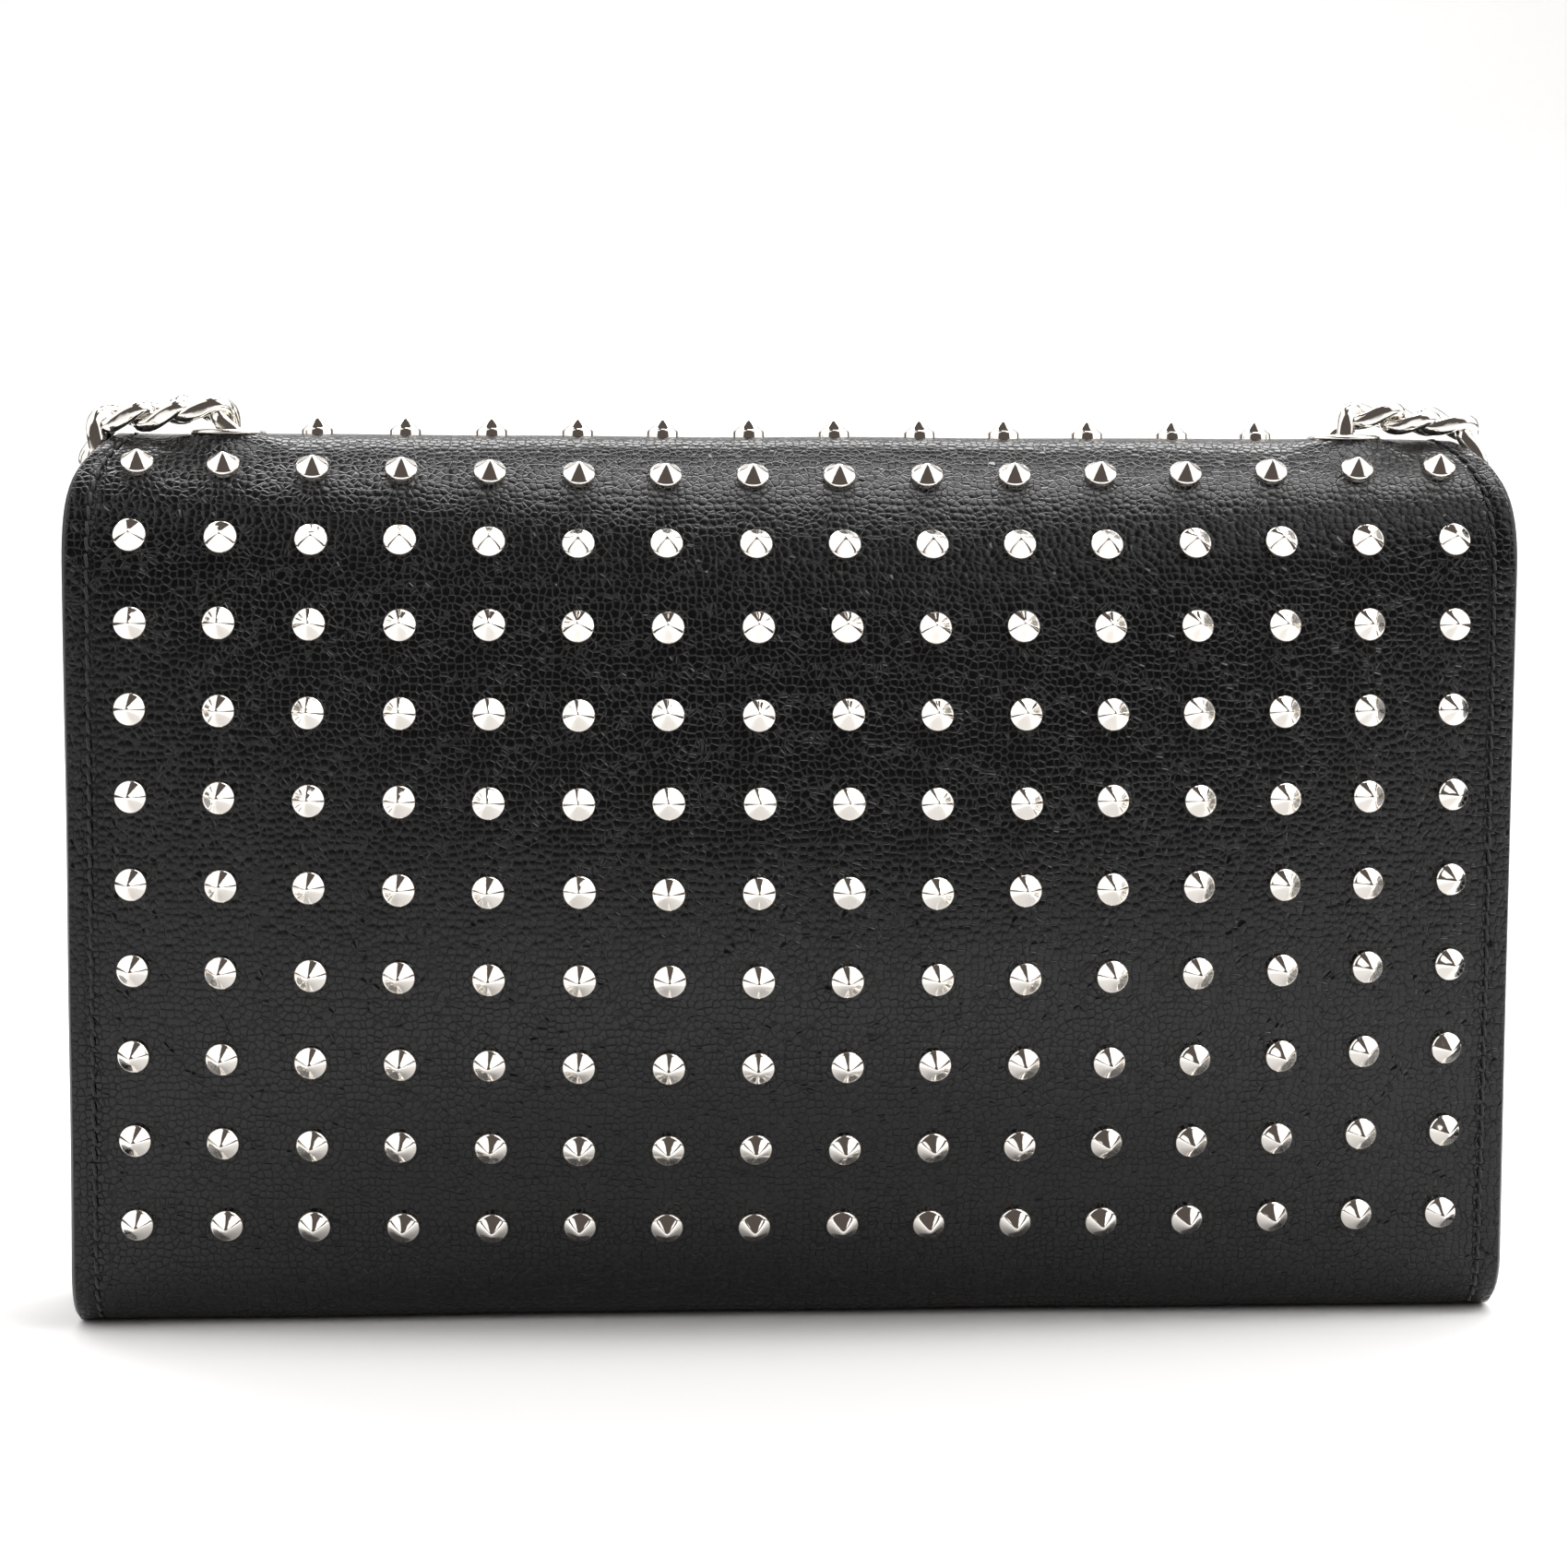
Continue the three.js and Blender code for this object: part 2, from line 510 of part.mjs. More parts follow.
// The strap leaves the left eyelet, drops down the left end, lies in two turns behind the wallet and
// rises up the right end to the right eyelet.
const RISE = [
  [94.2, -2, 146.6], [94.4, -2, 149.2], [96.2, -2, 151.9], [99, -2, 153], [102.5, -2, 152.9], [106, -2, 152.2],
  [110, -2, 151.9], [113, -2, 151.7], [115.5, -2, 150.6], [116.9, -2, 148], [117.2, -2, 145],
  [117.2, -1.8, 134], [116.7, -1, 112], [116.4, -0.5, 85], [116.4, 0, 60], [116.7, 1, 40], [117.7, 2, 25],
  [119.2, 4.4, 14], [120, 8.6, 7], [120, 15, 3.6],
];
const FLOOR_Z = 2.8;
const TURNS = [
  [-119.6, 26], [-116, 36], [-106, 42.2], [-93, 43.5], [-55, 43.5], [-15, 43.5], [25, 43.5], [64, 43.5],
  [72, 43.5], [81.9, 47.6], [86, 57.5], [81.9, 67.4], [72, 71.5], [60, 71.5], [20, 71.5], [-20, 71.5], [-54, 71.5],
  [-62, 71.5], [-71.9, 75.6], [-76, 85.5], [-71.9, 95.4], [-62, 99.5], [-50, 99.5], [-10, 99.5], [30, 99.5],
  [66, 99], [82, 95.5], [98, 86], [111, 68], [118, 46], [120, 28],
];
const STRAP_ROUTE = [
  ...RISE.map(([x, y, z]) => [-x, y, z]),
  ...TURNS.map(([x, y]) => [x, y, FLOOR_Z]),
  ...[...RISE].reverse(),
];
const TAIL_ROUTE = [[94.4, -2, 145], [94.5, -2.2, 142.8], [95, -4.6, 138], [95.6, -9, 133.4], [96, -12.8, 130], [96, -14, 125.4]];

// A round bar along a route, with its rings closest together where the route's points are.
function tube(points, diameter, sides, steps) {
  const curve = new THREE.CatmullRomCurve3(points.map((p) => new THREE.Vector3(...p)));
  const positions = [];
  const index = [];
  let normal = new THREE.Vector3(0, 1, 0);
  for (let k = 0; k <= steps; k++) {
    const centre = curve.getPoint(k / steps);
    const tangent = curve.getTangent(k / steps);
    normal = normal.clone().addScaledVector(tangent, -normal.dot(tangent)).normalize();
    const binormal = tangent.clone().cross(normal);
    for (let i = 0; i < sides; i++) {
      const turn = (2 * Math.PI * i) / sides;
      const p = centre.clone()
        .addScaledVector(normal, (diameter / 2) * Math.cos(turn))
        .addScaledVector(binormal, (diameter / 2) * Math.sin(turn));
      positions.push(p.x, p.y, p.z);
      const j = (i + 1) % sides;
      if (k < steps) {
        const [a, b, c, d] = [k * sides + i, k * sides + j, (k + 1) * sides + j, (k + 1) * sides + i];
        index.push(a, b, c, a, c, d);
      }
    }
  }
  const last = steps * sides;
  for (let i = 1; i < sides - 1; i++) index.push(0, i + 1, i, last, last + i, last + i + 1);
  const geometry = new THREE.BufferGeometry();
  geometry.setAttribute("position", new THREE.Float32BufferAttribute(positions, 3));
  geometry.setIndex(index);
  return facingOut(geometry);
}

function chain() {
  add("chain_strap", tube(STRAP_ROUTE, CHAIN_DIAMETER, 8, STRAP_ROUTE.length - 1), steel);
  for (const [side, suffix] of [[-1, "left"], [1, "right"]]) {
    eyelet(side, suffix);
    anchor(side, suffix);
    const tail = TAIL_ROUTE.map(([x, y, z]) => [side * x, y, z]);
    add("chain_tail_" + suffix, tube(tail, TAIL_DIAMETER, 8, 5), steel);
  }
}

outerLeather();
gusset(-1, "gusset_left");
gusset(1, "gusset_right");
interior();
pocketWall();
zip();
flap();
snap();
studs();
chain();

export default wallet;
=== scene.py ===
"""A studded black leather wallet on a chain, seen from its back, standing on a pale table."""
import math
import random

import bpy
import numpy as np
from mathutils import Matrix, Vector


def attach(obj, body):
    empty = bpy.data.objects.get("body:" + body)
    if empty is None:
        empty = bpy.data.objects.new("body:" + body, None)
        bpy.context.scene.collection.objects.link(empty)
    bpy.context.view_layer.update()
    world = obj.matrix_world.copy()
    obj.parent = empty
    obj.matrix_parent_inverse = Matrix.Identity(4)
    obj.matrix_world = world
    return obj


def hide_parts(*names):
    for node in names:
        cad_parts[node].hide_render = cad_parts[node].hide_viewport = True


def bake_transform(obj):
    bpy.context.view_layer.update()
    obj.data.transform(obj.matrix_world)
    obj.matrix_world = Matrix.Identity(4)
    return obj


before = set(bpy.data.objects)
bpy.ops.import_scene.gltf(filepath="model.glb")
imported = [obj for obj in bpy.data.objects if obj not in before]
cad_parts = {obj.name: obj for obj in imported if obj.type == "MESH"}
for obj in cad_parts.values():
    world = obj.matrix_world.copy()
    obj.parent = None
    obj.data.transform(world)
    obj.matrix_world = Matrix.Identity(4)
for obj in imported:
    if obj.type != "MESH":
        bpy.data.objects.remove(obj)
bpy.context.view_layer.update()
MM = 0.001

# ---- Sizes in millimetres, the same as the frame's ----
WIDTH, HEIGHT = 240.0, 149.0
LEATHER, LINING = 2.0, 0.8
FLAP_STANDOFF = 5.5
DEPTH_SHIFT = 3.0
PINCH = 1.84
STUD_PITCH, STUD_ROW_PITCH = 14.6, 14.5
MOUTH_Z, FLAP_EDGE_Z = 119.0, 16.0
EYELET_X, EYELET_Y = 95.0, 1.0
EDGE_TO_SEAM, STITCH_LENGTH = 3.5, 2.7
CREST_INSET, INSET_REACH, INSET_FROM_X = 6.7, 14.0, 104.0
FRONT_HALF = 116.5
HALF = WIDTH / 2
# The leather is level within the first distance of an eyelet, and untouched past the second.
EYELET_FLAT, EYELET_FREE = 5.0, 9.5
EYELET_OVAL = 0.85
TOP_DEPTH = 20.0  # only leather this near the top is drawn level round an eyelet
STUD_COLUMNS, TOP_COLUMNS, BACK_ROWS, FLAP_ROWS = 16, 12, 10, 8
# Each stud is set by hand: this many millimetres off its place, and radians off square.
STUD_SCATTER, STUD_LEAN = 0.15, 0.03


# ---- The shape of the leather body ----
def line_of_arcs(arcs):
    """Arcs of (radius, facing at the end in degrees) from the crest to the floor.
    A radius of None fills the height."""
    ends = np.radians([end for _, end in arcs])
    starts = np.concatenate([[math.pi / 2], ends[:-1]])
    drops = np.sin(starts) - np.sin(ends)
    radii = np.array([radius or 0.0 for radius, _ in arcs])
    open_arc = [radius is None for radius, _ in arcs].index(True)
    radii[open_arc] = (HEIGHT - (radii * drops).sum()) / drops[open_arc]
    lengths = radii * (starts - ends)
    out, z, centres = 0.0, HEIGHT, []
    for radius, start, end in zip(radii, starts, ends):
        centres.append((out - radius * math.cos(start), z - radius * math.sin(start)))
        out, z = centres[-1][0] + radius * math.cos(end), centres[-1][1] + radius * math.sin(end)
    return {"radii": radii, "starts": starts, "centres": np.array(centres),
            "begins": np.concatenate([[0], np.cumsum(lengths)[:-1]]), "length": lengths.sum()}


def on_line(line, distance):
    """How far out and how high a line of arcs is, at a distance along it."""
    part = np.clip(np.searchsorted(line["begins"], distance, side="right") - 1, 0, len(line["radii"]) - 1)
    radius, centre = line["radii"][part], line["centres"][part]
    facing = line["starts"][part] - (distance - line["begins"][part]) / radius
    return centre[..., 0] + radius * np.cos(facing), centre[..., 1] + radius * np.sin(facing)


BACK_MIDDLE = line_of_arcs([(12, 53.2), (56.7, 14.7), (185, 0), (None, -27.3), (10.4, -90)])
BACK_EDGE = line_of_arcs([(21.6, 1), (470, 0), (None, -1), (10.4, -90)])
FRONT_MIDDLE = line_of_arcs([(14, 48), (42, 12), (250, 0), (None, -12), (10.4, -90)])
FRONT_EDGE = line_of_arcs([(20.5, 1), (470, 0), (None, -1), (10.4, -90)])
CREST = BACK_MIDDLE["length"]
WRAP = CREST + FRONT_MIDDLE["length"]


def eased(value, start, end):
    """Rises smoothly from 0 at the start to 1 at the end."""
    t = np.clip((value - start) / (end - start), 0, 1)
    return t * t * (3 - 2 * t)


def wrap_point(x, along):
    """A point on the outside of the body. The wrap runs from the floor up the back, over the crest and down the
    front. The side edges curve in over the top, and the leather lies flat round each eyelet."""
    x, along = np.broadcast_arrays(np.asarray(x, float), np.asarray(along, float))
    distance = np.abs(along - CREST)
    share = np.abs(2 * x / WIDTH) ** PINCH
    sides = []
    for middle, edge in ((BACK_MIDDLE, BACK_EDGE), (FRONT_MIDDLE, FRONT_EDGE)):
        a, b = on_line(middle, distance), on_line(edge, distance * edge["length"] / middle["length"])
        sides.append((a[0] + share * (b[0] - a[0]), a[1] + share * (b[1] - a[1])))
    front = along > CREST
    y = np.where(front, sides[1][0], -sides[0][0]) + DEPTH_SHIFT
    z = np.where(front, sides[1][1], sides[0][1])
    from_eyelet = np.hypot((np.abs(x) - EYELET_X) * EYELET_OVAL, y - EYELET_Y)
    level = (1 - eased(from_eyelet, EYELET_FLAT, EYELET_FREE)) * (z > HEIGHT - TOP_DEPTH)
    inset = CREST_INSET * eased(np.abs(x), INSET_FROM_X, HALF) * np.exp(-(((along - CREST) / INSET_REACH) ** 2))
    return np.stack([x - np.sign(x) * inset, y, z + (HEIGHT - z) * level], -1)


def wrap_facing(x, along):
    """The way that the outside faces, away from the body."""
    step = 0.4
    across = wrap_point(x + step, along) - wrap_point(x - step, along)
    up = wrap_point(x, along + step) - wrap_point(x, along - step)
    facing = np.cross(across, up)
    return facing / np.linalg.norm(facing, axis=-1, keepdims=True)


def under(x, along, depth):
    """A point that lies a depth below the outside."""
    return wrap_point(x, along) - wrap_facing(x, along) * np.asarray(depth)[..., None]


def along_at(x, z, front):
    """How far along the wrap the outside is at a height."""
    near, far = CREST, (WRAP if front else 0.0)
    for _ in range(40):
        half = (near + far) / 2
        if wrap_point(x, half)[2] > z:
            near = half
        else:
            far = half
    return (near + far) / 2


# ---- Making meshes ----
def piece(name, points, faces, materials, body, smooth=True):
    """A mesh of points in millimetres, riding on a body.
    A face is its corners, or (corners, material's number)."""
    plain = [f[0] if isinstance(f[0], (tuple, list)) else f for f in faces]
    mesh = bpy.data.meshes.new(name)
    mesh.from_pydata((np.asarray(points, float) * MM).tolist(), [], [list(map(int, f)) for f in plain])
    for material in materials:
        mesh.materials.append(material)
    if any(isinstance(f[0], (tuple, list)) for f in faces):
        numbers = [f[1] if isinstance(f[0], (tuple, list)) else 0 for f in faces]
        mesh.polygons.foreach_set("material_index", numbers)
    mesh.polygons.foreach_set("use_smooth", [smooth] * len(plain))
    mesh.update()
    made = bpy.data.objects.new(name, mesh)
    bpy.context.scene.collection.objects.link(made)
    if body:
        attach(made, body)
    return made


def joined(parts):
    """Several (points, faces) as one."""
    points, faces, start = [], [], 0
    for some_points, some_faces in parts:
        points.append(np.asarray(some_points, float))
        faces += [[start + c for c in f] for f in some_faces]
        start += len(some_points)
    return np.concatenate(points), faces


def thick_sheet(outer, inner, holes=None, swell=0.35):
    """Points and faces of a sheet between two grids, its cut edge rounded. The edge's faces have material 1."""
    rows, cols = outer.shape[:2]
    points = [outer.reshape(-1, 3), inner.reshape(-1, 3)]
    at = lambda layer, j, i: layer * rows * cols + j * cols + i
    faces = []
    for j in range(rows - 1):
        for i in range(cols - 1):
            if holes is not None and holes[j, i]:
                continue
            faces.append(((at(0, j, i), at(0, j, i + 1), at(0, j + 1, i + 1), at(0, j + 1, i)), 0))
            faces.append(((at(1, j, i), at(1, j + 1, i), at(1, j + 1, i + 1), at(1, j, i + 1)), 2))
    rim = [(0, i) for i in range(cols)] + [(j, cols - 1) for j in range(1, rows)]
    rim += [(rows - 1, i) for i in range(cols - 2, -1, -1)] + [(j, 0) for j in range(rows - 2, 0, -1)]
    middle = []
    for j, i in rim:
        half = (outer[j, i] + inner[j, i]) / 2
        beyond = np.zeros(3)
        sides = ((j == 0, (1, 0)), (j == rows - 1, (-1, 0)), (i == 0, (0, 1)), (i == cols - 1, (0, -1)))
        for on_side, (dj, di) in sides:
            if on_side:
                away = outer[j, i] - outer[j + dj, i + di]
                beyond += away / max(np.linalg.norm(away), 1e-9)
        thick = np.linalg.norm(outer[j, i] - inner[j, i])
        middle.append(half + beyond / max(np.linalg.norm(beyond), 1e-9) * thick * swell)
    start = 2 * rows * cols
    points.append(np.array(middle))
    for k, (j, i) in enumerate(rim):
        n = (k + 1) % len(rim)
        j2, i2 = rim[n]
        faces.append(((at(0, j2, i2), at(0, j, i), start + k, start + n), 1))
        faces.append(((start + n, start + k, at(1, j, i), at(1, j2, i2)), 1))
    return np.concatenate(points), faces


def tube(path, across, up, radius, sides, closed=False):
    """A round bar along a path, given two directions across it at each point."""
    turns = 2 * math.pi * np.arange(sides) / sides
    ring = np.cos(turns)[None, :, None] * across[:, None, :] + np.sin(turns)[None, :, None] * up[:, None, :]
    radius = np.broadcast_to(np.asarray(radius, float), (len(path),))
    points = path[:, None, :] + ring * radius[:, None, None]
    n = len(path)
    faces = []
    for k in range(n if closed else n - 1):
        m = (k + 1) % n
        for i in range(sides):
            j = (i + 1) % sides
            faces.append((k * sides + i, m * sides + i, m * sides + j, k * sides + j))
    if not closed:
        faces.append(tuple(range(sides)))
        faces.append(tuple((n - 1) * sides + i for i in reversed(range(sides))))
    return points.reshape(-1, 3), faces


def smooth_route(points, spacing):
    """Points at an even spacing along a smooth curve through the given ones."""
    p = np.asarray(points, float)
    ends = np.concatenate([[2 * p[0] - p[1]], p, [2 * p[-1] - p[-2]]])
    dense = []
    for k in range(1, len(ends) - 2):
        a, b, c, d = ends[k - 1], ends[k], ends[k + 1], ends[k + 2]
        t = np.linspace(0, 1, 24, endpoint=False)[:, None]
        square, cube = 2 * a - 5 * b + 4 * c - d, 3 * b - a - 3 * c + d
        dense.append(0.5 * (2 * b + (c - a) * t + square * t**2 + cube * t**3))
    dense = np.concatenate(dense + [p[-1:]])
    run = np.concatenate([[0], np.cumsum(np.linalg.norm(np.diff(dense[:, :3], axis=0), axis=1))])
    count = max(2, int(round(run[-1] / spacing)) + 1)
    even = np.linspace(0, run[-1], count)
    return np.stack([np.interp(even, run, dense[:, i]) for i in range(dense.shape[1])], -1), run[-1]


def directions(path):
    ahead = np.gradient(path, axis=0)
    return ahead / np.linalg.norm(ahead, axis=1, keepdims=True)


# ---- Materials ----
def linear(code):
    """A linear colour from an sRGB hex code."""
    parts = [int(code[i:i + 2], 16) / 255 for i in (1, 3, 5)]
    return tuple(c / 12.92 if c <= 0.04045 else ((c + 0.055) / 1.055) ** 2.4 for c in parts) + (1.0,)


def add_node(material, kind, settings=None, inputs=None):
    """Adds a node; an input's value is a socket to link or a value to set."""
    tree = material.node_tree
    made = tree.nodes.new(kind)
    for key, value in (settings or {}).items():
        setattr(made, key, value)
    for key, value in (inputs or {}).items():
        if isinstance(value, bpy.types.NodeSocket):
            tree.links.new(value, made.inputs[key])
        else:
            made.inputs[key].default_value = value
    return made.outputs


def new_material(name):
    material = bpy.data.materials.new(name)
    material.use_nodes = True
    material.node_tree.nodes.clear()
    return material


def finish_with(material, **inputs):
    """The surface shader, its inputs named as in Blender with _ for a space."""
    named = {key.replace("_", " "): value for key, value in inputs.items()}
    shader = add_node(material, "ShaderNodeBsdfPrincipled", inputs=named)
    add_node(material, "ShaderNodeOutputMaterial", inputs={"Surface": shader["BSDF"]})
    return material


def two_colours(material, factor, first, second):
    return add_node(material, "ShaderNodeMix", {"data_type": "RGBA"},
                    {"Factor": factor, "A": linear(first), "B": linear(second)})["Result"]


def in_place(material):
    return add_node(material, "ShaderNodeTexCoord")["Object"]


def calculated(material, operation, first, second):
    return add_node(material, "ShaderNodeMath", {"operation": operation}, {0: first, 1: second})["Value"]


def ranged(material, value, low, high):
    return add_node(material, "ShaderNodeMapRange", None,
                    {"Value": value, "From Min": 0.0, "From Max": 1.0, "To Min": low, "To Max": high})["Result"]


def pebbled_calfskin(name, cell_mm, depth_mm, face, rim, roughness):
    """Chrome-tanned calfskin, drum-dyed black and tumbled until its grain stands up in small round pebbles; a thin
    acrylic top coat leaves it half glossy. The pebbles' tops catch the light and the creases stay dark. The colour
    also
    carries painted shade: it is darker towards each crease (face) and lighter on the pebbles' tops (rim), mixed
    with a random cloud of tone."""
    m = new_material(name)
    place = in_place(m)
    wander = add_node(m, "ShaderNodeTexNoise", None, {"Vector": place, "Scale": 150.0, "Detail": 1.0})["Color"]
    bent = add_node(m, "ShaderNodeMix", {"data_type": "VECTOR"},
                    {"Factor": 0.0005, "A": place, "B": wander})["Result"]
    grain = {"Vector": bent, "Scale": 1000.0 / cell_mm, "Randomness": 0.72}
    crease = add_node(m, "ShaderNodeTexVoronoi", {"feature": "DISTANCE_TO_EDGE"}, grain)["Distance"]
    crown = add_node(m, "ShaderNodeTexVoronoi", {"feature": "F1"}, grain)["Distance"]
    flank = add_node(m, "ShaderNodeMapRange", {"interpolation_type": "SMOOTHERSTEP"},
                     {"Value": crease, "From Min": 0.0, "From Max": 0.12, "To Min": 0.0, "To Max": 1.0})["Result"]
    pores = add_node(m, "ShaderNodeTexNoise", None, {"Vector": place, "Scale": 2600.0, "Detail": 2.0})["Fac"]
    rise = calculated(m, "SUBTRACT", flank, calculated(m, "MULTIPLY", calculated(m, "POWER", crown, 2.0), 0.7))
    height = calculated(m, "ADD", rise, calculated(m, "MULTIPLY", pores, 0.07))
    bump = add_node(m, "ShaderNodeBump", None,
                    {"Height": height, "Strength": 1.0, "Distance": depth_mm * MM})["Normal"]
    cloud = add_node(m, "ShaderNodeTexNoise", None, {"Vector": place, "Scale": 28.0, "Detail": 3.0})["Fac"]
    # Painted shade: the colour goes from face in the creases to rim on the pebbles' tops, plus a random cloud of
    # tone.
    crease_shade_and_tone = calculated(m, "ADD", calculated(m, "MULTIPLY", flank, 0.6), calculated(m, "MULTIPLY", cloud, 0.4))
    patchy = ranged(m, cloud, roughness, roughness + 0.12)
    rough = calculated(m, "SUBTRACT", patchy, calculated(m, "MULTIPLY", flank, 0.06))
    return finish_with(m, Base_Color=two_colours(m, crease_shade_and_tone, face, rim), Roughness=rough, Normal=bump, IOR=1.40)


def waxed_edge():
    """Edge paint: a pigmented acrylic laid on the cut edge and ironed smooth.
    It is plain, rounded and satin."""
    m = new_material("edge_paint")
    ripple = add_node(m, "ShaderNodeTexNoise", None, {"Vector": in_place(m), "Scale": 900.0, "Detail": 2.0})["Fac"]
    bump = add_node(m, "ShaderNodeBump", None, {"Height": ripple, "Strength": 0.5, "Distance": 0.00008})["Normal"]
    colour = two_colours(m, ripple, "#0b0b0c", "#131315")
    return finish_with(m, Base_Color=colour, Roughness=0.42, Normal=bump, IOR=1.5)


def bonded_thread():
    """Bonded nylon thread, three plies twisted: a fine slanting ridge and a slight sheen."""
    m = new_material("bonded_nylon_thread")
    plies = add_node(m, "ShaderNodeTexWave", {"bands_direction": "DIAGONAL"},
                     {"Vector": in_place(m), "Scale": 900.0, "Distortion": 1.0})["Fac"]
    bump = add_node(m, "ShaderNodeBump", None, {"Height": plies, "Strength": 0.6, "Distance": 0.0001})["Normal"]
    return finish_with(m, Base_Color=two_colours(m, plies, "#050506", "#0f0f10"), Roughness=0.55, Normal=bump,
                       Sheen_Weight=0.2)


def polished_nickel(name, light, dark, roughness):
    """Zinc casting, tumbled, nickel-plated and buffed: a bright, slightly warm mirror with faint rubbing marks."""
    m = new_material(name)
    place = in_place(m)
    rub = add_node(m, "ShaderNodeTexNoise", None, {"Vector": place, "Scale": 320.0, "Detail": 4.0})["Fac"]
    bump = add_node(m, "ShaderNodeBump", None, {"Height": rub, "Strength": 0.15, "Distance": 0.00004})["Normal"]
    return finish_with(m, Base_Color=two_colours(m, rub, dark, light), Metallic=1.0,
                       Roughness=ranged(m, rub, roughness * 0.6, roughness * 1.6), Normal=bump)


def suede_lining():
    """Goatskin suede, buffed on its flesh side: matt, with a short nap that lightens at a glancing angle."""
    m = new_material("goat_suede")
    nap = add_node(m, "ShaderNodeTexNoise", None, {"Vector": in_place(m), "Scale": 1500.0, "Detail": 5.0})["Fac"]
    bump = add_node(m, "ShaderNodeBump", None, {"Height": nap, "Strength": 0.7, "Distance": 0.0002})["Normal"]
    return finish_with(m, Base_Color=two_colours(m, nap, "#191718", "#2b292a"), Roughness=0.95, Normal=bump,
                       Sheen_Weight=0.5, Sheen_Roughness=0.4)


def smooth_calf():
    """Smooth box calf, glazed: a tight grain of fine creases, satin, for the pockets and the chain's tabs."""
    m = new_material("smooth_box_calf")
    place = in_place(m)
    creases = add_node(m, "ShaderNodeTexVoronoi", {"feature": "DISTANCE_TO_EDGE"},
                       {"Vector": place, "Scale": 1400.0})
    cloud = add_node(m, "ShaderNodeTexNoise", None, {"Vector": place, "Scale": 60.0, "Detail": 3.0})["Fac"]
    bump = add_node(m, "ShaderNodeBump", None,
                    {"Height": creases["Distance"], "Strength": 0.35, "Distance": 0.0001})["Normal"]
    colour = two_colours(m, cloud, "#151515", "#1f1e1f")
    return finish_with(m, Base_Color=colour, Roughness=0.4, Normal=bump, IOR=1.5)


def woven_tape():
    """Polyester zip tape, twill-woven at about 0.5 mm a rib: matt black with fine ribs along it."""
    m = new_material("polyester_zip_tape")
    place = in_place(m)
    ribs = add_node(m, "ShaderNodeTexWave", {"bands_direction": "DIAGONAL"},
                    {"Vector": place, "Scale": 330.0})["Fac"]
    bump = add_node(m, "ShaderNodeBump", None, {"Height": ribs, "Strength": 0.8, "Distance": 0.00015})["Normal"]
    return finish_with(m, Base_Color=two_colours(m, ribs, "#0c0c0d", "#1a1a1b"), Roughness=0.85, Normal=bump,
                       Sheen_Weight=0.3)


def bag_board():
    """Pressed fibre board, the stiffener of the base: matt buff with long pressed fibres."""
    m = new_material("fibre_board")
    fibre = add_node(m, "ShaderNodeTexNoise", None, {"Vector": in_place(m), "Scale": 700.0, "Detail": 6.0})["Fac"]
    return finish_with(m, Base_Color=two_colours(m, fibre, "#7d6c55", "#a08c70"), Roughness=0.9)


# For each leather the darker colour is painted shade for the creases and the lighter one colours the pebbles'
# tops. A random cloud varies both.
LEATHER_SKIN = pebbled_calfskin("pebbled_black_calfskin", 1.22, 0.17, "#030304", "#08080a", 0.21)
GUSSET_SKIN = pebbled_calfskin("pebbled_black_calfskin_soft", 1.18, 0.12, "#040404", "#0a0a0b", 0.30)
EDGE = waxed_edge()
THREAD = bonded_thread()
STUD_METAL = polished_nickel("polished_nickel_studs", "#ece8e2", "#e2ddd6", 0.05)
CHAIN_METAL = polished_nickel("polished_nickel_chain", "#e9e6e0", "#dcd8d1", 0.09)
SMALL_METAL = polished_nickel("polished_nickel_fittings", "#e6e3dd", "#d8d4cd", 0.12)
SUEDE = suede_lining()
CALF = smooth_calf()
TAPE = woven_tape()
BOARD = bag_board()

# ---- Camera ----
AIM = Vector((-0.00347, -0.033, 0.09273))
YAW, PITCH, ROLL, DISTANCE = 0.0677, 0.0894, 0.0044, 0.560
SENSOR, LENS = 36.0, 79.5


def set_camera():
    ahead = Vector((math.sin(YAW) * math.cos(PITCH), math.cos(YAW) * math.cos(PITCH), -math.sin(PITCH)))
    level = Vector((math.cos(YAW), -math.sin(YAW), 0.0))
    over = level.cross(ahead)
    right = level * math.cos(ROLL) + over * math.sin(ROLL)
    up = over * math.cos(ROLL) - level * math.sin(ROLL)
    data = bpy.data.cameras.new("camera")
    data.sensor_width, data.lens = SENSOR, LENS
    data.clip_start, data.clip_end = 0.02, 20.0
    camera = bpy.data.objects.new("camera", data)
    turned = Matrix((right, up, -ahead)).transposed().to_4x4()
    camera.matrix_world = Matrix.Translation(AIM - ahead * DISTANCE) @ turned
    bpy.context.scene.collection.objects.link(camera)
    bpy.context.scene.camera = camera


set_camera()

# ---- Chain ----
LINK_PITCH, LINK_WIRE, LINK_LONG, LINK_WIDE = 6.5, 2.8, 11.3, 7.0
LINK_TWIST, LINK_FLAT = math.radians(-58), 2.85
LINK_ROUND = 0.8  # below 1, the sides of a link are fuller than an ellipse
